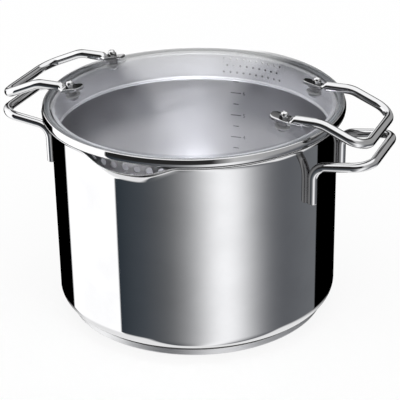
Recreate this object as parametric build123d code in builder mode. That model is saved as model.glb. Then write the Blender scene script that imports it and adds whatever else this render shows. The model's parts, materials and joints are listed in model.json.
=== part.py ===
from build123d import *
import os
from math import asin, cos, degrees, pi, radians, sin, sqrt

# Pasta pot with a straining lid. Millimetres, +Z up, origin on the floor under the pot's axis.
# The handles lie along X, the two pouring spouts along Y.

# Pot: a deep-drawn stainless vessel with a flared rim
inner_radius = 120.0
wall = 1.0
corner_radius = 12.0
rim_height = 177.5
lip_bend = 6.8
lip_angle = 85.0

# Spouts: two places where the rim dips and flares further out
spout_turn = -92.0
spout_half_angle = 20.0
spout_drop = 7.3
spout_bend = 11.0
spout_fullness = 1.5
spout_sections = 7
join_tolerance = 0.0001

# Base: an aluminium disc closed in under the floor by a stainless cap
cap_radius = 112.0
cap_height = 6.0
cap_sheet = 0.8
cap_edge = 1.2
core_thickness = 6.2
core_edge = 0.6

# Pot handles: bent rods whose legs are welded to the wall
rod = 8.0
weld_depth = 0.4
leg_spacing = 74.0
leg_drop = 54.5
pot_arm_drop = 21.9
pot_grip_drop = 15.5
pot_grip_out = 44.7
pot_leg_bend = 12.0
pot_grip_bend = 15.0
rod_end_break = 0.8

# Lid ring: a rolled band that rests on the rim and holds the glass
seat_clearance = 0.3
ring_overhang = 0.8
ring_sheet = 0.9
hem_width = 1.8
flange_rise = 3.4
ring_lip_height = 1.8
ring_edge_break = 0.4

# Strainer collar: a beaded band that hangs in the pot by a narrow flange on the ring
collar_gap = 3.0
collar_sheet = 0.8
collar_depth = 17.3
collar_play = 0.05
collar_flange = 2.4
collar_bend = 1.5
bead_radius = 1.5

# Strainer holes in the collar: one row of large ones, three staggered rows of small ones
hole_turn = -94.5
large_hole = 6.0
large_hole_pitch = 5.1
large_hole_count = 7
large_hole_drop = 9.0
small_hole = 2.0
small_hole_pitch = 3.1
small_rows = 3
small_row_count = 10
small_row_drop = 12.5
small_row_rise = 6.5

# Glass: a domed disc of toughened glass, drilled for the handle bolts
dome_radius = 421.0
glass_thickness = 3.5
glass_edge_gap = 0.5
glass_edge_round = 1.2
seal_thickness = 0.6
seal_width = 6.0
seal_drop = 0.2

# Lid handles: bent rods with flattened feet, bolted through the glass
bolt_inset = 32.4
bolt_spacing = 79.0
foot_front = 5.5
foot_tail = 11.5
foot_width = 12.0
foot_thickness = 2.6
foot_edge_break = 0.6
neck_overlap = 1.3
rod_start = 11.0
arm_gap = 1.0
hump_run = 32.0
lid_grip_out = 41.2
grip_rise = 17.0
hump_bend = 24.0
lid_grip_bend = 16.0

# Bolt stack at each foot: pad and sleeve, washers, screw, cap nut
contact_gap = 0.05
pad_thickness = 1.2
pad_radius = 6.5
sleeve_radius = 3.7
sleeve_play = 0.3
screw_radius = 1.95
screw_play = 0.05
bore_play = 0.3
seat_play = 0.2
washer_radius = 5.5
washer_thickness = 1.0
screw_head_radius = 4.0
screw_head_height = 2.4
screw_head_round = 1.2
nut_across_flats = 7.0
nut_hex_height = 2.6
nut_dome_radius = 3.3
nut_height = 5.6
nut_roof = 1.4
recess_width = 2.5
recess_depth = 1.4

# How far the cutters of holes run past the sheet they cut, each way
overrun = 5.0

# Measures that follow from the driving ones
outer_radius = inner_radius + wall
floor_underside = cap_sheet + core_thickness
rod_radius = rod / 2
spout_start = rim_height - spout_drop - (spout_bend + wall) * sin(radians(lip_angle))
wall_top = spout_start - corner_radius / 2
spout_turns = [spout_turn, spout_turn + 180]
leg_y = leg_spacing / 2
leg_x = sqrt((outer_radius + rod_radius - weld_depth) ** 2 - leg_y**2)
leg_bottom = rim_height - leg_drop
pot_arm_root = rim_height - pot_arm_drop
pot_grip_height = rim_height - pot_grip_drop
pot_grip_reach = outer_radius + pot_grip_out
lip_radius = outer_radius + lip_bend * (1 - cos(radians(lip_angle)))
ring_radius = lip_radius + ring_overhang
collar_radius = inner_radius - collar_gap
collar_bottom = rim_height - collar_depth
skirt_bottom = rim_height + seat_clearance
flange_top = skirt_bottom + flange_rise
ring_top = flange_top + ring_lip_height
glass_radius = ring_radius - ring_sheet - glass_edge_gap
glass_underside_radius = dome_radius - glass_thickness
dome_centre = flange_top + seal_thickness - sqrt(glass_underside_radius**2 - glass_radius**2)
bolt_x = glass_radius - bolt_inset
bolt_y = bolt_spacing / 2
hump_reach = bolt_x + hump_run
lid_grip_reach = outer_radius + lid_grip_out
lid_grip_height = pot_grip_height + grip_rise
bolt_bore = screw_radius + bore_play
foot_sole = contact_gap + pad_thickness
nut_seat = foot_sole + foot_thickness
nut_corner_radius = nut_across_flats / 2 / cos(pi / 6)
foot_length = foot_front + foot_tail
neck_start = foot_front - neck_overlap
under_side = -glass_thickness - contact_gap
screw_head_seat = under_side - pad_thickness - washer_thickness
sides = {"left": -1, "right": 1}
corners = {"front": -1, "rear": 1}

os.makedirs("parts", exist_ok=True)


def radial_plane(turn):
    """Upright plane through the pot's axis: local x runs outwards, local y runs up."""
    angle = radians(turn)
    return Plane(origin=(0, 0, 0), x_dir=(cos(angle), sin(angle), 0), z_dir=(sin(angle), -cos(angle), 0))


def spout_share(turn_share):
    """How far the rim is into a spout, from 0 at its sides to 1 at its middle."""
    return (1 + cos(pi * abs(turn_share) ** spout_fullness)) / 2


def rim_outline(turn, share):
    """Cross-section of the rim: the wall's end, the flare and its rounded edge."""
    bend = lip_bend + share * (spout_bend - lip_bend)
    start = rim_height - share * spout_drop - (bend + wall) * sin(radians(lip_angle))
    centre = (outer_radius + bend, start)
    with BuildSketch(radial_plane(turn)) as outline:
        with BuildLine():
            outside = Line((outer_radius, wall_top), (outer_radius, start))
            outer_flare = CenterArc(centre, bend, 180, -lip_angle)
            inside = Line((inner_radius, wall_top), (inner_radius, start))
            inner_flare = CenterArc(centre, bend + wall, 180, -lip_angle)
            TangentArc(outer_flare @ 1, inner_flare @ 1, tangent=outer_flare % 1)
            Line(outside @ 0, inside @ 0)
        make_face()
    return outline.sketch


def dome_height(x, y):
    """Height of the glass's upper surface over a point."""
    return dome_centre + sqrt(dome_radius**2 - x**2 - y**2)


def bolt_plane(side, corner, height):
    """Plane across a bolt, a height above the glass: local x runs outwards along X."""
    x = side * bolt_x
    y = corner * bolt_y
    normal = Vector(x, y, dome_height(x, y) - dome_centre).normalized()
    origin = Vector(x, y, dome_height(x, y)) + normal * height
    along = (Vector(side, 0, 0) - normal * normal.dot(Vector(side, 0, 0))).normalized()
    return Plane(origin=origin, x_dir=along, z_dir=normal)


# Pot shell: the drawn cup, then the rim with its two spouts
with BuildPart() as cup:
    with BuildSketch(Plane.XZ):
        with BuildLine():
            outside = FilletPolyline(
                (0, floor_underside), (outer_radius, floor_underside), (outer_radius, wall_top),
                radius=corner_radius,
            )
            inside = FilletPolyline(
                (0, floor_underside + wall), (inner_radius, floor_underside + wall), (inner_radius, wall_top),
                radius=corner_radius - wall,
            )
            Line(outside @ 0, inside @ 0)
            Line(outside @ 1, inside @ 1)
        make_face()
    revolve(axis=Axis.Z)
with BuildPart() as rim:
    for turn in spout_turns:
        step_shares = [step / spout_sections for step in range(-spout_sections, spout_sections + 1)]
        loft([rim_outline(turn + share * spout_half_angle, spout_share(share)) for share in step_shares])
        plain_rim = rim_outline(turn + spout_half_angle, 0)
        revolve(plain_rim, axis=Axis.Z, revolution_arc=180 - 2 * spout_half_angle)
with BuildPart() as pot_shell:
    add(cup.part.fuse(rim.part, tol=join_tolerance))
pot_shell.part.label = "pot_shell"
export_step(pot_shell.part, "parts/pot_shell.step")

# Base core
with BuildPart() as base_core:
    with BuildSketch(Plane.XY.offset(cap_sheet)):
        Circle(cap_radius - cap_sheet)
    extrude(amount=core_thickness)
    chamfer(base_core.edges().group_by(Axis.Z)[-1], core_edge)
base_core.part.label = "base_core"
export_step(base_core.part, "parts/base_core.step")

# Base cap
with BuildPart() as base_cap:
    with BuildSketch():
        Circle(cap_radius)
    extrude(amount=cap_height)
    with BuildSketch(Plane.XY.offset(cap_sheet)):
        Circle(cap_radius - cap_sheet)
    extrude(amount=cap_height, mode=Mode.SUBTRACT)
    fillet(base_cap.edges().group_by(Axis.Z)[0], cap_edge)
base_cap.part.label = "base_cap"
export_step(base_cap.part, "parts/base_cap.step")

# Pot handles
for side_name, side in sides.items():
    with BuildPart() as pot_handle:
        with BuildLine() as route:
            FilletPolyline(
                (side * leg_x, -leg_y, leg_bottom),
                (side * leg_x, -leg_y, pot_arm_root),
                (side * pot_grip_reach, -leg_y, pot_grip_height),
                (side * pot_grip_reach, leg_y, pot_grip_height),
                (side * leg_x, leg_y, pot_arm_root),
                (side * leg_x, leg_y, leg_bottom),
                radius=[pot_leg_bend, pot_grip_bend, pot_grip_bend, pot_leg_bend],
            )
        with BuildSketch(Plane(origin=route.line @ 0, z_dir=route.line % 0)):
            Circle(rod_radius)
        sweep(path=route.line)
        chamfer(pot_handle.edges().group_by(Axis.Z)[0], rod_end_break)
        with BuildSketch():
            Circle(outer_radius)
        extrude(amount=rim_height, mode=Mode.SUBTRACT)
    pot_handle.part.label = f"pot_handle_{side_name}"
    export_step(pot_handle.part, f"parts/pot_handle_{side_name}.step")

# Lid ring
with BuildPart() as lid_ring:
    with BuildSketch(Plane.XZ) as ring_outline:
        with BuildLine():
            Polyline(
                (collar_radius + collar_play, flange_top),
                (ring_radius - ring_sheet, flange_top),
                (ring_radius - ring_sheet, ring_top),
                (ring_radius, ring_top),
                (ring_radius, skirt_bottom),
                (ring_radius - hem_width, skirt_bottom),
                (ring_radius - hem_width, flange_top - ring_sheet),
                (collar_radius + collar_play, flange_top - ring_sheet),
                close=True,
            )
        make_face()
        fillet(ring_outline.vertices().group_by(Axis.X)[-1], ring_edge_break)
    revolve(axis=Axis.Z)
lid_ring.part.label = "lid_ring"
export_step(lid_ring.part, "parts/lid_ring.step")

# Strainer collar
with BuildPart() as strainer_collar:
    with BuildSketch(Plane.XZ) as collar_outline:
        with BuildLine():
            bent = FilletPolyline(
                (collar_radius - collar_sheet, collar_bottom),
                (collar_radius - collar_sheet, flange_top + collar_sheet),
                (collar_radius + collar_flange, flange_top + collar_sheet),
                radius=collar_bend,
            )
            Polyline(
                bent @ 1,
                (collar_radius + collar_flange, flange_top),
                (collar_radius, flange_top),
                (collar_radius, collar_bottom),
                bent @ 0,
            )
        make_face()
        with Locations((collar_radius - collar_sheet / 2, collar_bottom)):
            Circle(bead_radius)
    revolve(axis=Axis.Z)
    large_row = range(large_hole_count)
    large_middle = (large_hole_count - 1) / 2
    large_height = rim_height - large_hole_drop
    large_holes = [(hole_turn + (i - large_middle) * large_hole_pitch, large_height) for i in large_row]
    small_holes = []
    for row in range(small_rows):
        count = small_row_count - row % 2
        middle = (count - 1) / 2
        height = rim_height - small_row_drop + row * small_row_rise
        small_holes += [(hole_turn + 180 + (i - middle) * small_hole_pitch, height) for i in range(count)]
    for holes, size in ((large_holes, large_hole), (small_holes, small_hole)):
        places = [radial_plane(turn) * Location((collar_radius, height, 0), (0, 90, 0)) for turn, height in holes]
        with Locations(places):
            Cylinder(size / 2, 2 * overrun, mode=Mode.SUBTRACT)
strainer_collar.part.label = "strainer_collar"
export_step(strainer_collar.part, "parts/strainer_collar.step")

# Glass dome
with BuildPart() as lid_glass:
    with BuildSketch(Plane.XZ) as glass_outline:
        with BuildLine():
            upper = CenterArc((0, dome_centre), dome_radius, 90, -degrees(asin(glass_radius / dome_radius)))
            lower = CenterArc(
                (0, dome_centre), glass_underside_radius, 90, -degrees(asin(glass_radius / glass_underside_radius))
            )
            Line(upper @ 0, lower @ 0)
            Line(upper @ 1, lower @ 1)
        make_face()
        fillet(glass_outline.vertices().group_by(Axis.X)[-1], glass_edge_round)
    revolve(axis=Axis.Z)
    bolt_planes = [bolt_plane(side, corner, 0) for side in sides.values() for corner in corners.values()]
    with Locations(*bolt_planes):
        Cylinder(sleeve_radius + sleeve_play, 2 * overrun, mode=Mode.SUBTRACT)
lid_glass.part.label = "lid_glass"
export_step(lid_glass.part, "parts/lid_glass.step")

# Seal between the glass and the ring
with BuildPart() as glass_seal:
    with BuildSketch(Plane.XZ):
        with BuildLine():
            Polyline(
                (ring_radius - ring_sheet - seal_width, flange_top),
                (ring_radius - ring_sheet, flange_top),
                (ring_radius - ring_sheet, ring_top - seal_drop),
                (ring_radius - ring_sheet - seal_width, ring_top - seal_drop),
                close=True,
            )
        make_face()
    revolve(axis=Axis.Z)
    add(lid_glass.part, mode=Mode.SUBTRACT)
glass_seal.part.label = "glass_seal"
export_step(glass_seal.part, "parts/glass_seal.step")

# Lid handles
lid_arm_height = dome_height(bolt_x + rod_start, bolt_y) + rod_radius + arm_gap
for side_name, side in sides.items():
    with BuildPart() as lid_handle:
        for corner in corners.values():
            with BuildSketch(bolt_plane(side, corner, foot_sole)):
                with Locations((foot_length / 2 - foot_tail, 0)):
                    RectangleRounded(foot_length, foot_width, foot_width / 2 - foot_edge_break)
            extrude(amount=foot_thickness)
            neck_plane = bolt_plane(side, corner, foot_sole + foot_thickness / 2)
            neck_foot = Plane(
                origin=neck_plane.from_local_coords((neck_start, 0, 0)),
                x_dir=neck_plane.y_dir,
                z_dir=neck_plane.x_dir,
            )
            neck_rod = Plane(
                origin=(side * (bolt_x + rod_start), corner * bolt_y, lid_arm_height),
                x_dir=neck_plane.y_dir,
                z_dir=(side, 0, 0),
            )
            with BuildSketch(neck_foot):
                Ellipse(foot_width / 2 - foot_edge_break, foot_thickness / 2)
            with BuildSketch(neck_rod):
                Circle(rod_radius)
            loft()
        with BuildLine() as route:
            FilletPolyline(
                (side * (bolt_x + rod_start), -bolt_y, lid_arm_height),
                (side * hump_reach, -bolt_y, lid_arm_height),
                (side * lid_grip_reach, -bolt_y, lid_grip_height),
                (side * lid_grip_reach, bolt_y, lid_grip_height),
                (side * hump_reach, bolt_y, lid_arm_height),
                (side * (bolt_x + rod_start), bolt_y, lid_arm_height),
                radius=[hump_bend, lid_grip_bend, lid_grip_bend, hump_bend],
            )
        with BuildSketch(Plane(origin=route.line @ 0, z_dir=route.line % 0)):
            Circle(rod_radius)
        sweep(path=route.line)
        for corner in corners.values():
            with BuildSketch(bolt_plane(side, corner, 0)):
                Circle(pad_radius + seat_play)
            extrude(amount=foot_sole, mode=Mode.SUBTRACT)
            with BuildSketch(bolt_plane(side, corner, nut_seat)):
                Circle(nut_corner_radius + seat_play)
            extrude(amount=nut_height, mode=Mode.SUBTRACT)
            with BuildSketch(bolt_plane(side, corner, 0)):
                Circle(bolt_bore)
            extrude(amount=nut_seat, mode=Mode.SUBTRACT)
    lid_handle.part.label = f"lid_handle_{side_name}"
    export_step(lid_handle.part, f"parts/lid_handle_{side_name}.step")

# Bolt stacks, one at each foot
for side_name, side in sides.items():
    for corner_name, corner in corners.items():
        place = f"{side_name}_{corner_name}"

        # Silicone pad with the sleeve that keeps the screw off the glass
        with BuildPart() as foot_pad:
            with BuildSketch(bolt_plane(side, corner, contact_gap)):
                Circle(pad_radius)
            extrude(amount=pad_thickness)
            with BuildSketch(bolt_plane(side, corner, contact_gap)):
                Circle(sleeve_radius)
            extrude(amount=-glass_thickness)
            with Locations(bolt_plane(side, corner, 0)):
                Cylinder(bolt_bore, 2 * overrun, mode=Mode.SUBTRACT)
        foot_pad.part.label = f"foot_pad_{place}"
        export_step(foot_pad.part, f"parts/foot_pad_{place}.step")

        # Silicone washer under the glass
        with BuildPart() as under_washer:
            with BuildSketch(bolt_plane(side, corner, under_side)):
                Circle(pad_radius)
                Circle(bolt_bore, mode=Mode.SUBTRACT)
            extrude(amount=-pad_thickness)
        under_washer.part.label = f"under_washer_{place}"
        export_step(under_washer.part, f"parts/under_washer_{place}.step")

        # Steel washer
        with BuildPart() as steel_washer:
            with BuildSketch(bolt_plane(side, corner, under_side - pad_thickness)):
                Circle(washer_radius)
                Circle(bolt_bore, mode=Mode.SUBTRACT)
            extrude(amount=-washer_thickness)
        steel_washer.part.label = f"steel_washer_{place}"
        export_step(steel_washer.part, f"parts/steel_washer_{place}.step")

        # Screw, head down
        shank_top = nut_seat + nut_height - nut_roof
        with BuildPart() as screw:
            with BuildSketch(bolt_plane(side, corner, screw_head_seat)):
                Circle(screw_radius)
            extrude(amount=shank_top - screw_head_seat)
            with BuildSketch(bolt_plane(side, corner, screw_head_seat)):
                Circle(screw_head_radius)
            extrude(amount=-screw_head_height)
            crown = screw.faces().sort_by(Axis.Z)[0]
            fillet(crown.edges(), screw_head_round)
            with BuildSketch(bolt_plane(side, corner, screw_head_seat - screw_head_height)):
                RegularPolygon(recess_width / 2, 6, major_radius=False)
            extrude(amount=recess_depth, mode=Mode.SUBTRACT)
        screw.part.label = f"screw_{place}"
        export_step(screw.part, f"parts/screw_{place}.step")

        # Cap nut
        with BuildPart() as cap_nut:
            with BuildSketch(bolt_plane(side, corner, nut_seat)):
                RegularPolygon(nut_across_flats / 2, 6, major_radius=False)
            extrude(amount=nut_hex_height)
            with BuildSketch(bolt_plane(side, corner, nut_seat)):
                Circle(nut_dome_radius)
            extrude(amount=nut_height)
            crown = cap_nut.faces().sort_by(Axis.Z)[-1]
            fillet(crown.edges(), nut_height - nut_hex_height - contact_gap)
            with BuildSketch(bolt_plane(side, corner, nut_seat)):
                Circle(screw_radius + screw_play)
            extrude(amount=nut_height - nut_roof, mode=Mode.SUBTRACT)
        cap_nut.part.label = f"cap_nut_{place}"
        export_step(cap_nut.part, f"parts/cap_nut_{place}.step")
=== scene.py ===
import json
from math import asin, atan2, cos, degrees, pi, radians, sin, sqrt, tan

import bmesh
import bpy
from mathutils import Matrix, Vector

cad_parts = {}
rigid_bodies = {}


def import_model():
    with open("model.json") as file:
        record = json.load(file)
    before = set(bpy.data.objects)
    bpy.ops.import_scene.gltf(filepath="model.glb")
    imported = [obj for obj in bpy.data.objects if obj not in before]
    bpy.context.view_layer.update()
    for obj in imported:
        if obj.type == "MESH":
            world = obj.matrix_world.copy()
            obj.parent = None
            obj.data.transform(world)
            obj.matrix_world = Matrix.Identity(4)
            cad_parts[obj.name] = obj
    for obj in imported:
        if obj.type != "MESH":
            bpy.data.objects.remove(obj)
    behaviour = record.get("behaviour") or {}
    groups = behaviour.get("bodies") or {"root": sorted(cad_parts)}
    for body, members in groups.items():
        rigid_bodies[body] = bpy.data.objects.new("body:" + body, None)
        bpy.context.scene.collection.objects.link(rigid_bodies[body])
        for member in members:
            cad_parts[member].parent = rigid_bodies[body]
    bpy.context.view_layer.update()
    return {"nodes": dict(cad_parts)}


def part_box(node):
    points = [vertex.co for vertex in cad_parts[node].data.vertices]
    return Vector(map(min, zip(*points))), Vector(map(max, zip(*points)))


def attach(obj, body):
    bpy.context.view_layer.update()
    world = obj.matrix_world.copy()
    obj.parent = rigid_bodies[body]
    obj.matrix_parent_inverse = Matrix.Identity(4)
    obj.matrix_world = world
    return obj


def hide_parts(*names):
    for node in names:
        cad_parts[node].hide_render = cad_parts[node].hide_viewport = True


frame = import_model()
nodes = frame["nodes"]
mm = 0.001

# The photographer's camera: a long lens a little over a metre off, looking down into the pot from
# between the front spout and the right handles, with a slight tilt of the horizon.
camera_place = Vector((0.45474, -1.04583, 0.63932))
aim = Vector((0.003465, 0.001507, 0.08888))
horizon_tilt = radians(-1.027)
sensor = 0.036
lens_reach = 3.6384
near_limit = 0.05
far_limit = 20

lens = bpy.data.cameras.new("camera")
lens.sensor_width = sensor / mm
lens.lens = lens_reach * sensor / mm
lens.clip_start = near_limit
lens.clip_end = far_limit
camera = bpy.data.objects.new("camera", lens)
bpy.context.collection.objects.link(camera)
looking = (aim - camera_place).to_track_quat("-Z", "Y").to_matrix().to_4x4()
camera.matrix_world = Matrix.Translation(camera_place) @ looking @ Matrix.Rotation(horizon_tilt, 4, "Z")
bpy.context.scene.camera = camera
bpy.context.scene.view_settings.view_transform = "Standard"


# The studio: polished steel shows the room round it, so the room is drawn with care. A white sheet hangs
# on the left, a soft window stands right of the camera, black flags close off the sides and a white cloth
# is stretched overhead. Two small softboxes reach only into the satin pot and onto the collar.
def node(tree, kind, **settings):
    """A new shader node, with properties and input values given by name."""
    made = tree.nodes.new(kind)
    for name, value in settings.items():
        if name in made.inputs:
            made.inputs[name].default_value = value
        else:
            setattr(made, name, value)
    return made


def sums(tree, operation, *values):
    """A maths node on values, each a number or another node's output."""
    made = node(tree, "ShaderNodeMath", operation=operation)
    for place, value in enumerate(values):
        if isinstance(value, (int, float)):
            made.inputs[place].default_value = value
        else:
            tree.links.new(value, made.inputs[place])
    return made.outputs[0]


def ramp(tree, value, stops):
    """A colour ramp with (place, grey or colour) stops, read at a value."""
    made = node(tree, "ShaderNodeValToRGB")
    elements = made.color_ramp.elements
    while len(elements) < len(stops):
        elements.new(0.5)
    for element, (place, colour) in zip(elements, stops):
        element.position = place
        shade = (colour,) * 3 if isinstance(colour, (int, float)) else colour
        element.color = (*shade, 1)
    tree.links.new(value, made.inputs[0])
    return made.outputs[0]


def mixed(tree, share, first, second):
    """A colour mix: first where share is 0, second where it is 1. A number for either is a grey."""
    made = node(tree, "ShaderNodeMix", data_type="RGBA")
    tree.links.new(share, made.inputs[0])
    for place, value in ((6, first), (7, second)):
        if isinstance(value, (int, float)):
            made.inputs[place].default_value = (value, value, value, 1)
        else:
            tree.links.new(value, made.inputs[place])
    return made.outputs[2]


def all_round(tree, turn, stops):
    """A ring of light and dark: (degrees from the camera, shade) stops from behind it, left first."""
    share = sums(tree, "MULTIPLY_ADD", turn, 1 / 360, 0.5)
    return ramp(tree, share, [(0.5 + at / 360, shade) for at, shade in stops])


camera_turn = degrees(atan2(camera_place.y, camera_place.x))
window_turn = 23.0
window_softness = 18.0
window_strength = 1.0
floor_shade = 0.95
cloth_shade = 1.15
matt_shade = 0.95
low_stops = [
    (-167, 1.25), (-166, 0.0), (-126, 0.0), (-125, 1.3), (-67.5, 1.3), (-66.5, (0.032, 0.042, 0.052)),
    (-45, (0.066, 0.076, 0.088)), (-15, (0.13, 0.134, 0.14)), (60, (0.11, 0.115, 0.127)),
    (78, (0.12, 0.126, 0.138)), (114, (0.17, 0.178, 0.19)), (115, 0.0), (175, 0.0), (176, 1.25),
]
high_stops = [
    (-180, 0.65), (-174, 0.65), (-172, 0.02), (-157, 0.02), (-150, 0.5), (-140, 1.0), (-125, 1.3),
    (-67.5, 1.3), (-66.5, 0.02), (12, 0.03), (28, 0.6), (60, 0.4), (100, 0.35), (150, 0.4),
    (157, 0.02), (172, 0.02), (174, 0.65), (180, 0.65),
]
deep_stops = [(-180, 0.3), (-130, 0.05), (-60, 0.0), (0, 0.3), (60, 0.0), (130, 0.05), (180, 0.3)]
beside_stops = [(-180, 1), (-48, 1), (-38, 0), (70, 0), (80, 1), (180, 1)]
front_floor_edge = [(0, 1), (0.02, 0)]
side_floor_edge = [(0.16, 1), (0.24, 0)]
high_edge = [(0.42, 0), (0.46, 1)]
cloth_edge = [(0.62, 0), (0.72, 1)]
deep_bounces = 2.5
world = bpy.data.worlds.new("studio")
world.use_nodes = True
bpy.context.scene.world = world
tree = world.node_tree
tree.nodes.clear()
direction = node(tree, "ShaderNodeSeparateXYZ")
tree.links.new(node(tree, "ShaderNodeTexCoord").outputs["Generated"], direction.inputs[0])
toward = sums(tree, "ARCTAN2", direction.outputs["Y"], direction.outputs["X"])
turn = sums(tree, "SUBTRACT", sums(tree, "MULTIPLY", toward, 180 / pi), camera_turn)
turn = sums(tree, "WRAP", turn, 180.0, -180.0)
off_window = sums(tree, "DIVIDE", sums(tree, "SUBTRACT", turn, window_turn), window_softness)
bell = sums(tree, "EXPONENT", sums(tree, "MULTIPLY", sums(tree, "POWER", off_window, 2.0), -0.5))
low_room = node(tree, "ShaderNodeVectorMath", operation="ADD")
tree.links.new(all_round(tree, turn, low_stops), low_room.inputs[0])
tree.links.new(sums(tree, "MULTIPLY", bell, window_strength), low_room.inputs[1])
height = direction.outputs["Z"]
level = sums(tree, "MULTIPLY_ADD", height, 0.5, 0.5)
front_floor = ramp(tree, level, front_floor_edge)
side_floor = ramp(tree, level, side_floor_edge)
floor_share = mixed(tree, all_round(tree, turn, beside_stops), front_floor, side_floor)
studio = mixed(tree, floor_share, low_room.outputs[0], floor_shade)
studio = mixed(tree, ramp(tree, level, high_edge), studio, all_round(tree, turn, high_stops))
studio = mixed(tree, ramp(tree, height, cloth_edge), studio, cloth_shade)
rays = node(tree, "ShaderNodeLightPath")
is_deep = sums(tree, "GREATER_THAN", rays.outputs["Ray Depth"], deep_bounces)
studio = mixed(tree, is_deep, studio, all_round(tree, turn, deep_stops))
plain = mixed(tree, rays.outputs["Is Glossy Ray"], matt_shade, studio)
seen = mixed(tree, rays.outputs["Is Camera Ray"], plain, 1.0)
backdrop = node(tree, "ShaderNodeBackground", Strength=1.0)
tree.links.new(seen, backdrop.inputs["Color"])
tree.links.new(backdrop.outputs[0], node(tree, "ShaderNodeOutputWorld").inputs[0])


def lamp(name, place, target, size, spread, watts):
    """A round softbox that lights only the pieces linked to the objects that it gives back."""
    light = bpy.data.lights.new(name, "AREA")
    light.shape = "DISK"
    light.size = size
    light.spread = radians(spread)
    light.energy = watts
    made = bpy.data.objects.new(name, light)
    bpy.context.collection.objects.link(made)
    turned_to = (Vector(target) - Vector(place)).to_track_quat("-Z", "Y").to_matrix().to_4x4()
    made.matrix_world = Matrix.Translation(place) @ turned_to
    made.light_linking.receiver_collection = bpy.data.collections.new(name)
    return made.light_linking.receiver_collection.objects


pot_lamp = lamp(
    "pot_lamp", place=(0.12, -0.3, 1.0), target=(-0.045, 0.035, 0), size=0.25, spread=16, watts=1.2
)
collar_lamp = lamp(
    "collar_lamp", place=(0.35, -0.8, 1.05), target=(0, 0, 0.15), size=0.3, spread=180, watts=15
)


# Floor: a sheet of white paper under the pot, lit so strongly that only the faintest shadow is left. Steel
# doesn't mirror the sheet itself, but the white floor that is part of the studio.
floor_half = 1.6
floor_depth = 0.2 * mm
floor_glow = 0.86
paper_white = (0.9, 0.9, 0.9, 1)
glow_strength = 1.02
floor_corners = [(-1, -1), (1, -1), (1, 1), (-1, 1)]
floor_mesh = bpy.data.meshes.new("floor")
floor_points = [(x * floor_half, y * floor_half, -floor_depth) for x, y in floor_corners]
floor_mesh.from_pydata(floor_points, [], [(0, 1, 2, 3)])
floor = bpy.data.objects.new("floor", floor_mesh)
bpy.context.collection.objects.link(floor)
floor.visible_glossy = False
paper = bpy.data.materials.new("white_paper")
paper.use_nodes = True
tree = paper.node_tree
tree.nodes.clear()
matt = node(tree, "ShaderNodeBsdfDiffuse", Color=paper_white)
glow = node(tree, "ShaderNodeEmission", Color=(1, 1, 1, 1), Strength=glow_strength)
blend = node(tree, "ShaderNodeMixShader")
rays = node(tree, "ShaderNodeLightPath")
tree.links.new(sums(tree, "MULTIPLY", rays.outputs["Is Camera Ray"], floor_glow), blend.inputs[0])
tree.links.new(matt.outputs[0], blend.inputs[1])
tree.links.new(glow.outputs[0], blend.inputs[2])
tree.links.new(blend.outputs[0], node(tree, "ShaderNodeOutputMaterial").inputs[0])
floor_mesh.materials.append(paper)


# Pot: one sheet of stainless steel, deep drawn into a cup, its rim turned outwards in a narrow flare. At
# the front and the back the flare dips and widens into a pouring spout. The outside and the rim are
# polished to a mirror; the inside keeps a satin finish with fine lines running round it, its steel colour
# painted much darker than the outside's as painted shade inside the covered pot.
noise_low = 0.35
noise_high = 0.65
cloud_scale = 30.0
cloud_dulling = 0.94
line_stretch = 6.0
line_share = 0.6
finish_low = 0.3
finish_high = 0.7
finish_spread = 0.25
brush_turn = 0.25
crease_angle = 35


def steel(name, colour, roughness, line_depth, line_spacing, brushed=0.0):
    """Stainless steel, with its finish in fine lines round the pot's axis and faint clouds of wear."""
    made = bpy.data.materials.new(name)
    made.use_nodes = True
    tree = made.node_tree
    surface = tree.nodes["Principled BSDF"]
    surface.inputs["Metallic"].default_value = 1
    place = node(tree, "ShaderNodeTexCoord").outputs["Object"]
    cloud = node(tree, "ShaderNodeTexNoise", Scale=cloud_scale, Detail=4.0)
    tree.links.new(place, cloud.inputs["Vector"])
    dull = tuple(cloud_dulling * part for part in colour)
    shades = [(noise_low, dull), (noise_high, colour)]
    tree.links.new(ramp(tree, cloud.outputs["Fac"], shades), surface.inputs["Base Color"])
    apart = node(tree, "ShaderNodeSeparateXYZ")
    tree.links.new(place, apart.inputs[0])
    x, y, z = apart.outputs
    out = sums(tree, "SQRT", sums(tree, "MULTIPLY_ADD", x, x, sums(tree, "MULTIPLY", y, y)))
    joined = node(tree, "ShaderNodeCombineXYZ")
    for number, part in enumerate((x, y)):
        round_axis = sums(tree, "MULTIPLY", sums(tree, "DIVIDE", part, out), line_stretch)
        tree.links.new(round_axis, joined.inputs[number])
    tree.links.new(sums(tree, "MULTIPLY", sums(tree, "ADD", out, z), 1 / line_spacing), joined.inputs[2])
    lines = node(tree, "ShaderNodeTexNoise", Scale=1.0, Detail=2.0)
    tree.links.new(joined.outputs[0], lines.inputs["Vector"])
    worn = sums(tree, "MULTIPLY", cloud.outputs["Fac"], 1 - line_share)
    both = sums(tree, "MULTIPLY_ADD", lines.outputs["Fac"], line_share, worn)
    finish = [(finish_low, (1 - finish_spread) * roughness), (finish_high, (1 + finish_spread) * roughness)]
    tree.links.new(ramp(tree, both, finish), surface.inputs["Roughness"])
    relief = node(tree, "ShaderNodeBump", Strength=1.0, Distance=line_depth)
    tree.links.new(lines.outputs["Fac"], relief.inputs["Height"])
    tree.links.new(relief.outputs[0], surface.inputs["Normal"])
    if brushed:
        surface.inputs["Anisotropic"].default_value = brushed
        surface.inputs["Anisotropic Rotation"].default_value = brush_turn
        along = node(tree, "ShaderNodeTangent", direction_type="RADIAL", axis="Z")
        tree.links.new(along.outputs[0], surface.inputs["Tangent"])
    return made


def arc(centre, radius, start, sweep, steps):
    """Points (out, up) on an arc, with its angles in degrees from the outward direction."""
    angles = [radians(start + sweep * step / steps) for step in range(steps + 1)]
    return [(centre[0] + radius * cos(angle), centre[1] + radius * sin(angle)) for angle in angles]


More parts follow.
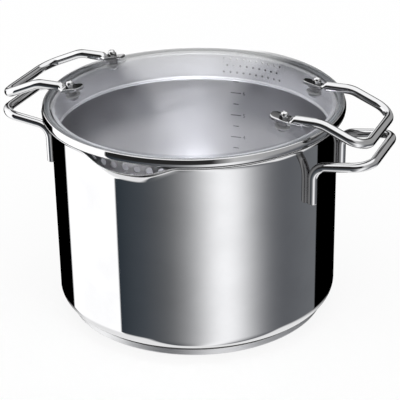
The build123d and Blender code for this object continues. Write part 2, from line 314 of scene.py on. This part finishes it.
def turned(outline_at, columns, closed=False):
    """Vertices and faces of an outline turned round an axis; the outline may change with the turn."""
    vertices, faces = [], []
    for column in range(columns):
        turn = 360 * column / columns
        outline = outline_at(turn)
        vertices += [(out * cos(radians(turn)), out * sin(radians(turn)), up) for out, up in outline]
    count = len(outline)
    for column in range(columns):
        here = column * count
        ahead = (column + 1) % columns * count
        for row in range(count if closed else count - 1):
            upper = (row + 1) % count
            faces.append((here + row, ahead + row, ahead + upper, here + upper))
    return vertices, faces


def piece(name, shape, looks, body, replaced=(), look_of=None, crease=crease_angle):
    """A solid from vertices and faces, smooth but for its creases, that rides on a body of the frame."""
    vertices, faces = shape
    mesh = bpy.data.meshes.new(name)
    mesh.from_pydata(vertices, [], faces)
    for look in looks:
        mesh.materials.append(look)
    if look_of:
        mesh.polygons.foreach_set("material_index", [look_of(number) for number in range(len(faces))])
    solid = bmesh.new()
    solid.from_mesh(mesh)
    bmesh.ops.remove_doubles(solid, verts=solid.verts, dist=0.0001 * mm)
    bmesh.ops.recalc_face_normals(solid, faces=solid.faces)
    solid.to_mesh(mesh)
    solid.free()
    mesh.shade_smooth()
    mesh.set_sharp_from_angle(angle=radians(crease))
    made = bpy.data.objects.new(name, mesh)
    bpy.context.collection.objects.link(made)
    made.modifiers.new("even_shading", "WEIGHTED_NORMAL").keep_sharp = True
    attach(made, body)
    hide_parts(*replaced)
    return made


mirror_steel = steel("mirror_steel", (0.8, 0.8, 0.81), 0.03, 0.0004 * mm, 0.7 * mm)
# The inside's satin steel is painted darker than the other steel: painted shade for the covered pot.
satin_steel_painted_shade = steel("satin_steel_painted_shade", (0.46, 0.46, 0.48), 0.36, 0.002 * mm, 0.35 * mm, brushed=0.6)

inner_radius = 120 * mm
wall = 1 * mm
outer_radius = inner_radius + wall
corner_radius = 12 * mm
lip_bend = 6.8 * mm
lip_angle = 85
spout_turns = (-92, 88)
spout_half_angle = 20
spout_drop = 7.3 * mm
spout_bend = 11 * mm
spout_fullness = 1.5
pot_columns = 480
inner_corner_steps = 12
outer_corner_steps = 14
lip_steps = 18
edge_steps = 6
satin_steps = 8
floor_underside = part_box("pot_shell")[0].z
rim_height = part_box("pot_shell")[1].z
floor_top = floor_underside + wall
inner_corner = corner_radius - wall


def spout_share(turn):
    """How far the rim is into a spout at a turn, from 0 at its sides to 1 at its middle."""
    off = min(abs((turn - middle + 180) % 360 - 180) for middle in spout_turns) / spout_half_angle
    return (1 + cos(pi * off**spout_fullness)) / 2 if off < 1 else 0


def pot_outline(turn):
    """The pot's section at a turn: out over its floor, up the inside, over the rim, down the outside."""
    share = spout_share(turn)
    bend = lip_bend + share * (spout_bend - lip_bend)
    start = rim_height - share * spout_drop - (bend + wall) * sin(radians(lip_angle))
    centre = (outer_radius + bend, start)
    end = 180 - lip_angle
    edge = arc(centre, bend + wall / 2, end, 0, 1)[0]
    inside = [(0, floor_top)]
    corner = (inner_radius - inner_corner, floor_top + inner_corner)
    inside += arc(corner, inner_corner, -90, 90, inner_corner_steps)
    inside += arc(centre, bend + wall, 180, -lip_angle, lip_steps)
    outside = arc(edge, wall / 2, end, -180, edge_steps)[1:]
    outside += arc(centre, bend, end, lip_angle, lip_steps)[1:]
    corner = (outer_radius - corner_radius, floor_underside + corner_radius)
    outside += arc(corner, corner_radius, 0, -90, outer_corner_steps)
    return inside + outside + [(0, floor_underside)]


pot_rows = len(pot_outline(0)) - 1
inside_rows = inner_corner_steps + 2 + satin_steps
pot_body = piece(
    "pot_body", turned(pot_outline, pot_columns), [satin_steel_painted_shade, mirror_steel], "pot",
    ["pot_shell"], look_of=lambda number: 0 if number % pot_rows < inside_rows else 1,
)
pot_lamp.link(pot_body)


# Litre scale: marks etched into the satin inside wall below the rear spout, a long one for each litre with
# its number and a short one for each half. They stand off the wall by no more than an etching is deep.
mark_look = bpy.data.materials.new("etched_marks")
mark_look.use_nodes = True
tree = mark_look.node_tree
surface = tree.nodes["Principled BSDF"]
surface.inputs["Metallic"].default_value = 0.6
surface.inputs["Roughness"].default_value = 0.6
etching_scale = 900.0
etching = node(tree, "ShaderNodeTexNoise", Scale=etching_scale, Detail=3.0)
tree.links.new(node(tree, "ShaderNodeTexCoord").outputs["Object"], etching.inputs["Vector"])
shades = [(noise_low, (0.05, 0.05, 0.06)), (noise_high, (0.11, 0.11, 0.12))]
tree.links.new(ramp(tree, etching.outputs["Fac"], shades), surface.inputs["Base Color"])

scale_turn = 94.5
litre_rise = 22.1 * mm
top_litre = 6
top_litre_height = 143.2 * mm
long_mark = 10 * mm
short_mark = 5.5 * mm
mark_height = 0.9 * mm
mark_depth = 0.05 * mm
digit_size = 5.2 * mm
digit_gap = 1.6 * mm
mark_columns = 8


def on_wall(across, up, deep):
    """A point on the inside wall: across to the right of the scale's middle, up, and off the wall."""
    turn = radians(scale_turn) - across / inner_radius
    out = inner_radius - deep
    return (out * cos(turn), out * sin(turn), up)


def mark(length, height):
    """Vertices and faces of one etched mark."""
    vertices, faces = [], []
    for column in range(mark_columns + 1):
        across = length * (column / mark_columns - 0.5)
        for up in (height - mark_height / 2, height + mark_height / 2):
            vertices += [on_wall(across, up, 0), on_wall(across, up, mark_depth)]
    for column in range(mark_columns):
        here = 4 * column
        for one, other in ((0, 1), (1, 3), (3, 2), (2, 0)):
            faces.append((here + one, here + other, here + other + 4, here + one + 4))
    last = 4 * mark_columns
    return vertices, faces + [(0, 1, 3, 2), (last, last + 1, last + 3, last + 2)]


def digit(number, height):
    """Vertices and faces of one litre's number, right of its long mark."""
    letter = bpy.data.curves.new("digit", "FONT")
    letter.body = str(number)
    letter.size = digit_size
    letter.extrude = mark_depth / 2
    letter.align_y = "CENTER"
    stand = bpy.data.objects.new("digit", letter)
    mesh = bpy.data.meshes.new_from_object(stand)
    left = long_mark / 2 + digit_gap
    vertices = [on_wall(left + v.co.x, height + v.co.y, mark_depth / 2 + v.co.z) for v in mesh.vertices]
    faces = [tuple(polygon.vertices) for polygon in mesh.polygons]
    bpy.data.objects.remove(stand)
    return vertices, faces


def together(shapes):
    """One shape from several."""
    vertices, faces = [], []
    for more_vertices, more_faces in shapes:
        faces += [tuple(corner + len(vertices) for corner in face) for face in more_faces]
        vertices += more_vertices
    return vertices, faces


marks = []
for litre in range(1, top_litre + 1):
    height = top_litre_height - (top_litre - litre) * litre_rise
    marks += [mark(long_mark, height), mark(short_mark, height + litre_rise / 2), digit(litre, height)]
piece("litre_scale", together(marks), [mark_look], "pot")


# Base: an aluminium disc that spreads the heat, pressed under the floor and closed in by a stainless cap
# with a satin side. The disc shows as a thin grey line between the cap and the pot.
satin_side = steel("satin_side", (0.8, 0.8, 0.81), 0.38, 0.001 * mm, 0.4 * mm)
aluminium = steel("aluminium_disc", (0.55, 0.55, 0.56), 0.45, 0.003 * mm, 0.5 * mm)
cap_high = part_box("base_cap")[1]
cap_radius = cap_high.x
cap_height = cap_high.z
cap_sheet = 0.8 * mm
cap_round = 1.4 * mm
cap_lip = cap_sheet / 2
cap_inner = cap_radius - cap_sheet
cap_steps = 8
cap_columns = 360


def cap_outline(turn):
    """The cap's section: inside its floor and side, over its edge, down the outside and under."""
    points = [(0, cap_sheet), (cap_inner, cap_sheet)]
    points += arc((cap_radius - cap_lip, cap_height - cap_lip), cap_lip, 180, -180, cap_steps)
    points += arc((cap_radius - cap_round, cap_round), cap_round, 0, -90, cap_steps)
    return points + [(0, 0)]


piece("base_sole", turned(cap_outline, cap_columns), [satin_side], "pot", ["base_cap"])
nodes["base_core"].material_slots[0].material = aluminium


# Pot handles: 8 mm stainless rod, bent twice at the wall and twice round the grip, and welded to the wall
# along its two legs. The legs end square, with their edges just broken.
def rounded(corners, bends, steps=12):
    """A route in straight runs from corner to corner, with an arc of the given bend at each inner one."""
    route = [Vector(corners[0])]
    for before, corner, after, bend in zip(corners, corners[1:], corners[2:], bends):
        corner = Vector(corner)
        back = (Vector(before) - corner).normalized()
        on = (Vector(after) - corner).normalized()
        half = back.angle(on) / 2
        centre = corner + (back + on).normalized() * bend / sin(half)
        first = (corner + back * bend / tan(half) - centre).normalized()
        last = (corner + on * bend / tan(half) - centre).normalized()
        route += [centre + first.slerp(last, step / steps) * bend for step in range(steps + 1)]
    return route + [Vector(corners[-1])]


def swept(route, section, side, end_round, around=40, end_steps=4):
    """A solid swept along a route. Its section gives half the width, half the height and the squareness
    at a distance along; side is where its width points at the start, and its two ends are rounded."""
    distances = [0]
    for one, other in zip(route, route[1:]):
        distances.append(distances[-1] + (other - one).length)
    total = distances[-1]
    start = (route[1] - route[0]).normalized()
    end = (route[-1] - route[-2]).normalized()
    angles = [pi / 2 * step / end_steps for step in range(end_steps + 1)]
    rounding = [(end_round * (1 - cos(angle)), end_round * (1 - sin(angle))) for angle in angles]
    places = [(route[0] + start * along, start, along, shrink) for along, shrink in rounding]
    for number in range(1, len(route) - 1):
        if end_round < distances[number] < total - end_round:
            ahead = (route[number + 1] - route[number - 1]).normalized()
            places.append((route[number], ahead, distances[number], 0))
    places += [(route[-1] - end * along, end, total - along, shrink) for along, shrink in reversed(rounding)]
    rings = []
    for point, ahead, distance, shrink in places:
        side = (side - ahead * side.dot(ahead)).normalized()
        up = side.cross(ahead)
        half_width, half_height, squareness = section(distance)
        power = 2 / squareness
        for step in range(around):
            angle = 2 * pi * step / around
            across = abs(cos(angle)) ** power * (1 if cos(angle) > 0 else -1) * (half_width - shrink)
            above = abs(sin(angle)) ** power * (1 if sin(angle) > 0 else -1) * (half_height - shrink)
            rings.append(point + side * across + up * above)
    faces = []
    for number in range(len(places) - 1):
        for step in range(around):
            here = number * around
            beside = (step + 1) % around
            faces.append((here + step, here + beside, here + beside + around, here + step + around))
    last = len(rings) - around
    return rings, faces + [tuple(range(around)), tuple(range(last, last + around))]


sides = (("left", -1), ("right", 1))
rod_radius = 4 * mm
leg_y = 37 * mm
pot_arm_root = 155.6 * mm
pot_grip_height = 162 * mm
leg_bend = 12 * mm
grip_bend = 15 * mm
leg_end = 0.8 * mm
weld_depth = 0.4 * mm
leg_x = sqrt((outer_radius + rod_radius - weld_depth) ** 2 - leg_y**2)
for side_name, side in sides:
    handle_node = f"pot_handle_{side_name}"
    leg_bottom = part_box(handle_node)[0].z
    grip_reach = max(abs(corner.x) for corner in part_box(handle_node)) - rod_radius
    corners = [(side * leg_x, leg_y, leg_bottom), (side * leg_x, leg_y, pot_arm_root)]
    corners += [(side * grip_reach, leg_y, pot_grip_height)]
    corners += [(x, -y, z) for x, y, z in reversed(corners)]
    route = rounded(corners, [leg_bend, grip_bend, grip_bend, leg_bend])
    rod = swept(route, lambda distance: (rod_radius, rod_radius, 2), Vector((0, 1, 0)), leg_end)
    piece(f"pot_grip_{side_name}", rod, [mirror_steel], "pot", [handle_node])


# Lid ring: a stainless band rolled to a rounded crown that holds the glass by its edge. It rests on the
# pot's rim by a folded hem, and its inner flange carries the glass and the strainer collar. The hem is
# painted near-black all round, as painted shade in the gap between the ring and the pot's rim.
ring_low, ring_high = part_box("lid_ring")
ring_radius = ring_high.x
skirt_bottom = ring_low.z
crown_rise = 1.2 * mm
ring_top = ring_high.z + crown_rise
ring_sheet = 0.9 * mm
hem_width = 1.8 * mm
crown_reach = 2.8 * mm
crown_round = 1 * mm
crown_lean = 16
crown_steps = 12
flange_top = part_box("glass_seal")[0].z
collar_radius = 117 * mm
collar_play = 0.05 * mm
ring_mouth = ring_radius - crown_reach
hem_round = hem_width / 2
hem_steps = 10
hem_start = crown_steps + 5


def ring_outline(turn):
    """The ring's section: out along the flange, up to the crown, over it, and round the hem below."""
    points = [(collar_radius + collar_play, flange_top), (ring_mouth, flange_top)]
    centre = (ring_mouth + crown_round, ring_top - crown_round)
    points += arc(centre, crown_round, 180, crown_lean - 180, crown_steps)
    fall = (ring_radius - points[-1][0]) / tan(radians(crown_lean))
    points.append((ring_radius, points[-1][1] - fall))
    points += arc((ring_radius - hem_round, skirt_bottom + hem_round), hem_round, 0, -180, hem_steps)
    points.append((ring_radius - hem_width, flange_top - ring_sheet))
    return points + [(collar_radius + collar_play, flange_top - ring_sheet)]


# Painted shade: the hem's rows get a near-black steel, for the dark gap under the ring.
hem_painted_shade = steel("hem_painted_shade", (0.1, 0.1, 0.11), 0.5, 0.003 * mm, 0.5 * mm)
hem_shade_rows = range(hem_start, hem_start + hem_steps)
ring_rows = len(ring_outline(0))
piece(
    "lid_rim_band", turned(ring_outline, pot_columns, closed=True), [mirror_steel, hem_painted_shade], "lid",
    ["lid_ring"], look_of=lambda number: 1 if number % ring_rows in hem_shade_rows else 0,
)


# Strainer collar: a stainless band that hangs in the pot from the ring, with a bead rolled along its lower
# edge. Large holes face one spout and three rows of small ones the other; the lid is turned to choose.
# Its steel is painted brighter and bluer than the other steel, as painted light, and the holes' walls are
# painted near-black, as painted shade looking into the covered pot.
def drilled(solid, cutters, name, cut_look=None):
    """Cuts the cutters' shape out of a solid for good; the faces that it cuts may have their own look."""
    vertices, faces = cutters
    mesh = bpy.data.meshes.new(name)
    mesh.from_pydata(vertices, [], faces)
    if cut_look:
        solid.data.materials.append(cut_look)
        for face in mesh.polygons:
            face.material_index = len(solid.data.materials) - 1
    for look in solid.data.materials:
        mesh.materials.append(look)
    tool = bpy.data.objects.new(name, mesh)
    bpy.context.collection.objects.link(tool)
    shading = solid.modifiers[0]
    solid.modifiers.remove(shading)
    cut = solid.modifiers.new("holes", "BOOLEAN")
    cut.operation = "DIFFERENCE"
    cut.solver = "EXACT"
    cut.object = tool
    bpy.context.view_layer.update()
    evaluated = solid.evaluated_get(bpy.context.evaluated_depsgraph_get())
    result = bpy.data.meshes.new_from_object(evaluated)
    solid.modifiers.remove(cut)
    solid.data = result
    result.set_sharp_from_angle(angle=radians(crease_angle))
    solid.modifiers.new("even_shading", "WEIGHTED_NORMAL").keep_sharp = True
    bpy.data.objects.remove(tool)


def cylinder(place, length, radius, around=32):
    """Vertices and faces of a round cutter along the local z of a place, as long each way."""
    vertices, faces = [], []
    for end in (-length, length):
        for number in range(around):
            angle = 2 * pi * number / around
            vertices.append(tuple(place @ Vector((radius * cos(angle), radius * sin(angle), end))))
    for number in range(around):
        ahead = (number + 1) % around
        faces.append((number, ahead, ahead + around, number + around))
    return vertices, faces + [tuple(reversed(range(around))), tuple(range(around, 2 * around))]


# Painted light: the collar's steel is set brighter and bluer than the other steel, as if lit.
collar_satin_painted_light = steel("collar_satin_painted_light", (0.86, 0.86, 0.89), 0.6, 0.001 * mm, 0.4 * mm, brushed=0.2)
# Painted shade: the walls of the holes get a near-black steel, standing for the shade seen through them.
hole_painted_shade = steel("hole_painted_shade", (0.06, 0.06, 0.07), 0.5, 0.001 * mm, 0.4 * mm)
collar_sheet = 0.8 * mm
collar_bend = 1.5 * mm
collar_bend_steps = 8
bead_radius = 1.7 * mm
bead_steps = 20
collar_inner = collar_radius - collar_sheet
collar_low, collar_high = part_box("strainer_collar")
collar_top = collar_high.z
collar_edge = collar_high.x
collar_drop = 2.2 * mm
bead_centre = (collar_radius - collar_sheet / 2, collar_low.z - collar_drop + bead_radius)
bead_open = degrees(asin(collar_sheet / 2 / bead_radius))
hole_turn = -94.5
large_hole = 6 * mm
large_pitch = 5.1
large_count = 7
large_height = 168.5 * mm
small_hole = 2 * mm
small_pitch = 3.1
small_rows = ((10, 165 * mm), (9, 171.5 * mm), (10, 178 * mm))
cutter_reach = 5 * mm


def collar_outline(turn):
    """The collar's section: up the inside, out along the flange, back under it, down and round the bead."""
    centre = (collar_inner + collar_bend, collar_top - collar_bend)
    points = arc(centre, collar_bend, 180, -90, collar_bend_steps)
    points += [(collar_edge, collar_top), (collar_edge, collar_top - collar_sheet)]
    points += [(collar_radius, collar_top - collar_sheet)]
    return points + arc(bead_centre, bead_radius, 90 - bead_open, 2 * bead_open - 360, bead_steps)


def hole_row(middle, count, pitch, height, size):
    """A row of holes round the collar: the turn, height and size of each."""
    return [(middle + (number - (count - 1) / 2) * pitch, height, size) for number in range(count)]


band = turned(collar_outline, pot_columns, closed=True)
collar = piece("strainer_band", band, [collar_satin_painted_light], "lid", ["strainer_collar"])
holes = hole_row(hole_turn, large_count, large_pitch, large_height, large_hole)
for count, height in small_rows:
    holes += hole_row(hole_turn + 180, count, small_pitch, height, small_hole)
cutters = []
for turn, height, size in holes:
    place = Vector((collar_radius * cos(radians(turn)), collar_radius * sin(radians(turn)), height))
    outward = Matrix.Rotation(radians(turn), 4, "Z") @ Matrix.Rotation(pi / 2, 4, "Y")
    cutters.append(cylinder(Matrix.Translation(place) @ outward, cutter_reach, size / 2))
drilled(collar, together(cutters), "hole_punches", hole_painted_shade)
collar_lamp.link(collar)


# Glass: a shallow dome of clear toughened glass with a rounded, polished edge, drilled for the four
# handle bolts. Less light comes through the edge than through the face, so it looks a little darker.
smear_scale = 25.0
mirrored_head_on = 0.04


def glass_look(name, clear, roughness):
    """Clear glass as a sheet: what is behind it shows through, and it mirrors more at a slant."""
    made = bpy.data.materials.new(name)
    made.use_nodes = True
    tree = made.node_tree
    tree.nodes.clear()
    through = node(tree, "ShaderNodeBsdfTransparent", Color=(*clear, 1))
    gloss = node(tree, "ShaderNodeBsdfGlossy", Color=(1, 1, 1, 1))
    smears = node(tree, "ShaderNodeTexNoise", Scale=smear_scale, Detail=3.0)
    tree.links.new(node(tree, "ShaderNodeTexCoord").outputs["Object"], smears.inputs["Vector"])
    stops = [(0.4, 0.6 * roughness), (0.7, 1.6 * roughness)]
    tree.links.new(ramp(tree, smears.outputs["Fac"], stops), gloss.inputs["Roughness"])
    slant = node(tree, "ShaderNodeLayerWeight", Blend=0.5)
    steep = sums(tree, "POWER", slant.outputs["Facing"], 5.0)
    share = sums(tree, "MULTIPLY_ADD", steep, 1 - mirrored_head_on, mirrored_head_on)
    blend = node(tree, "ShaderNodeMixShader")
    tree.links.new(share, blend.inputs[0])
    tree.links.new(through.outputs[0], blend.inputs[1])
    tree.links.new(gloss.outputs[0], blend.inputs[2])
    tree.links.new(blend.outputs[0], node(tree, "ShaderNodeOutputMaterial").inputs[0])
    return made


clear_glass = glass_look("clear_glass", (0.985, 0.988, 0.99), 0.01)
glass_edge = glass_look("glass_edge", (0.85, 0.86, 0.87), 0.03)
glass_thickness = 3.5 * mm
glass_round = 1.6 * mm
dome_radius = 421 * mm
glass_gap = 0.4 * mm
glass_radius = ring_mouth - glass_gap
dome_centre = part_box("lid_glass")[1].z - dome_radius
under_radius = dome_radius - glass_thickness
glass_columns = 360
dome_steps = 28
glass_round_steps = 7
bolt_x = 94.2 * mm
bolt_y = 39.5 * mm
sleeve_hole = 4 * mm
bolts = [(side, corner) for side in (-1, 1) for corner in (-1, 1)]


def glass_outline(turn):
    """The glass's section: out over the dome, round the edge, and back below."""
    upper = degrees(asin((glass_radius - glass_round) / dome_radius))
    lower = degrees(asin((glass_radius - glass_round) / under_radius))
    points = arc((0, dome_centre), dome_radius, 90, -upper, dome_steps)
    top = points[-1]
    bottom = arc((0, dome_centre), under_radius, 90 - lower, 0, 1)[0]
    points += arc((top[0], top[1] - glass_round), glass_round, 90 - upper, upper - 90, glass_round_steps)[1:]
    points += arc((bottom[0], bottom[1] + glass_round), glass_round, 0, -90 - lower, glass_round_steps)
    return points + arc((0, dome_centre), under_radius, 90 - lower, lower, dome_steps)[1:]


def dome_height(x, y):
    """Height of the glass's upper surface over a point."""
    return dome_centre + sqrt(dome_radius**2 - x**2 - y**2)


def bolt_place(side, corner, height=0):
    """A place on a bolt's axis, a height above the glass: local z points out of the glass, x outwards."""
    x = side * bolt_x
    y = corner * bolt_y
    normal = Vector((x, y, dome_height(x, y) - dome_centre)).normalized()
    along = Vector((side, 0, 0))
    along = (along - normal * normal.dot(along)).normalized()
    turned_to = Matrix((along, normal.cross(along), normal)).transposed().to_4x4()
    return Matrix.Translation(Vector((x, y, dome_height(x, y))) + normal * height) @ turned_to


edge_rows = range(dome_steps, dome_steps + 2 * glass_round_steps + 1)
glass_rows = len(glass_outline(0)) - 1
dome = piece(
    "glass_dome", turned(glass_outline, glass_columns), [clear_glass, glass_edge], "lid",
    ["lid_glass"], look_of=lambda number: 1 if number % glass_rows in edge_rows else 0,
)
drills = [cylinder(bolt_place(*bolt), cutter_reach, sleeve_hole) for bolt in bolts]
drilled(dome, together(drills), "bolt_drills")


# Seal: a thin bed of milky clear silicone between the glass and the ring, pressed flat as the lid was put
# together. The pads, of a darker silicone, and the washers, of a paler one, share its fine, uneven skin.
skin_scale = 500.0
skin_depth = 0.02 * mm
skin_strength = 0.4


def silicone(name, dark, pale, roughness):
    """Moulded silicone: a soft sheen and a fine uneven skin."""
    made = bpy.data.materials.new(name)
    made.use_nodes = True
    tree = made.node_tree
    surface = tree.nodes["Principled BSDF"]
    surface.inputs["Roughness"].default_value = roughness
    skin = node(tree, "ShaderNodeTexNoise", Scale=skin_scale, Detail=4.0)
    tree.links.new(node(tree, "ShaderNodeTexCoord").outputs["Object"], skin.inputs["Vector"])
    shades = [(noise_low, dark), (noise_high, pale)]
    tree.links.new(ramp(tree, skin.outputs["Fac"], shades), surface.inputs["Base Color"])
    relief = node(tree, "ShaderNodeBump", Strength=skin_strength, Distance=skin_depth)
    tree.links.new(skin.outputs["Fac"], relief.inputs["Height"])
    tree.links.new(relief.outputs[0], surface.inputs["Normal"])
    return made


clear_silicone = silicone("clear_silicone", (0.42, 0.43, 0.45), (0.5, 0.51, 0.53), 0.4)
nodes["glass_seal"].material_slots[0].material = clear_silicone


# Lid handles: 8 mm stainless rod bent over the rim and round the grip. Each end is forged into a flat
# foot with rounded corners, drilled and bolted down on the glass.
foot_tail = 11.5 * mm
foot_half = 6 * mm
foot_corner = 5.4 * mm
foot_thickness = 2.6 * mm
foot_sole = 1.25 * mm
foot_squareness = 9
neck_start = 4.8 * mm
rod_start = 11 * mm
arm_gap = 1 * mm
hump_run = 32 * mm
hump_bend = 24 * mm
lid_grip_bend = 16 * mm
lid_grip_height = pot_grip_height + 17 * mm
foot_edge = 0.5 * mm
foot_steps = 12
neck_steps = 10
foot_around = 64


def eased(share):
    """A smooth step from 0 to 1."""
    share = min(max(share, 0), 1)
    return share * share * (3 - 2 * share)


def lid_handle(side, node_name):
    """Vertices and faces of one lid handle, from the tail of its front foot to that of its rear one."""
    low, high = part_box(node_name)
    grip_reach = max(abs(low.x), abs(high.x)) - rod_radius
    arm_height = dome_height(bolt_x + rod_start, bolt_y) + rod_radius + arm_gap
    rod_place = Vector((side * (bolt_x + rod_start), -bolt_y, arm_height))
    foot = bolt_place(side, -1, foot_sole + foot_thickness / 2)
    half = []
    for step in range(foot_steps + 1):
        reach = foot_corner * (1 - cos(pi / 2 * step / foot_steps))
        half.append(foot @ Vector((reach - foot_tail, 0, 0)))
    half += [foot @ Vector((0, 0, 0)), foot @ Vector((neck_start, 0, 0))]
    neck_from = half[-1]
    for step in range(1, neck_steps + 1):
        share = step / neck_steps
        flat = foot @ Vector((neck_start + share * (rod_start - neck_start), 0, 0))
        level = neck_from.lerp(rod_place, share)
        half.append(Vector((level.x, level.y, flat.z + (rod_place.z - flat.z) * eased(share))))
    corners = [tuple(rod_place), (side * (bolt_x + hump_run), -bolt_y, arm_height)]
    corners += [(side * grip_reach, -bolt_y, lid_grip_height)]
    corners += [(x, -y, z) for x, y, z in reversed(corners)]
    route = half[:-1] + rounded(corners, [hump_bend, lid_grip_bend, lid_grip_bend, hump_bend])
    route += [Vector((point.x, -point.y, point.z)) for point in reversed(half[:-1])]
    total = sum((other - one).length for one, other in zip(route, route[1:]))

    def section(distance):
        """The flat foot at both ends, the round rod between, and the neck that joins them."""
        distance = min(distance, total - distance)
        into_corner = max(foot_corner - distance, 0)
        plan = foot_half - foot_corner + sqrt(max(foot_corner**2 - into_corner**2, 0))
        share = eased((distance - foot_tail - neck_start) / (rod_start - neck_start))
        squareness = foot_squareness + (2 - foot_squareness) * eased(2 * share)
        width = plan + share * (rod_radius - plan)
        return width, foot_thickness / 2 + share * (rod_radius - foot_thickness / 2), squareness

    return swept(route, section, foot.to_3x3() @ Vector((0, 1, 0)), foot_edge, around=foot_around)


for side_name, side in sides:
    handle_node = f"lid_handle_{side_name}"
    handle = lid_handle(side, handle_node)
    piece(f"lid_grip_{side_name}", handle, [mirror_steel], "lid", [handle_node])


# Bolts: under each foot lies a silicone pad, and through it and the glass goes a steel screw, its head
# below on a steel washer and a silicone one, with a polished cap nut on top.
dark_silicone = silicone("dark_silicone", (0.2, 0.2, 0.205), (0.27, 0.27, 0.28), 0.3)
pale_silicone = silicone("pale_silicone", (0.5, 0.5, 0.51), (0.58, 0.58, 0.6), 0.3)
bolt_looks = [("foot_pad", dark_silicone), ("under_washer", pale_silicone)]
bolt_looks += [("steel_washer", mirror_steel), ("screw", mirror_steel)]
nut_seat = foot_sole + foot_thickness
nut_flats = 7 * mm
nut_hex_height = 2.6 * mm
nut_height = 5.6 * mm
nut_dome_radius = 3.3 * mm
nut_chamfer = 0.45 * mm
nut_face = nut_flats / 2 + 0.05 * mm
nut_fullness = 0.8
nut_steps = 12
nut_crease = 25
nut_columns = 96


def nut_outline(turn):
    """The cap nut's section at a turn: up its hexagon, in over the chamfer, and over the dome."""
    hexagon = nut_flats / 2 / cos(radians((turn + 30) % 60 - 30))
    chamfer = min(hexagon, nut_face)
    points = [(0, 0), (chamfer, 0), (hexagon, nut_chamfer), (hexagon, nut_hex_height - nut_chamfer)]
    points += [(chamfer, nut_hex_height), (nut_dome_radius, nut_hex_height)]
    dome_rise = nut_height - nut_hex_height
    for step in range(1, nut_steps + 1):
        angle = pi / 2 * step / nut_steps
        points.append((nut_dome_radius * cos(angle) ** nut_fullness, nut_hex_height + dome_rise * sin(angle)))
    return points


for side_name, side in sides:
    for corner_name, corner in (("front", -1), ("rear", 1)):
        bolt_name = f"{side_name}_{corner_name}"
        vertices, faces = turned(nut_outline, nut_columns)
        seat = bolt_place(side, corner, nut_seat)
        nut = ([tuple(seat @ Vector(point)) for point in vertices], faces)
        piece(
            f"acorn_nut_{bolt_name}", nut, [mirror_steel], "lid", [f"cap_nut_{bolt_name}"],
            crease=nut_crease,
        )
        for name, look in bolt_looks:
            nodes[f"{name}_{bolt_name}"].material_slots[0].material = look
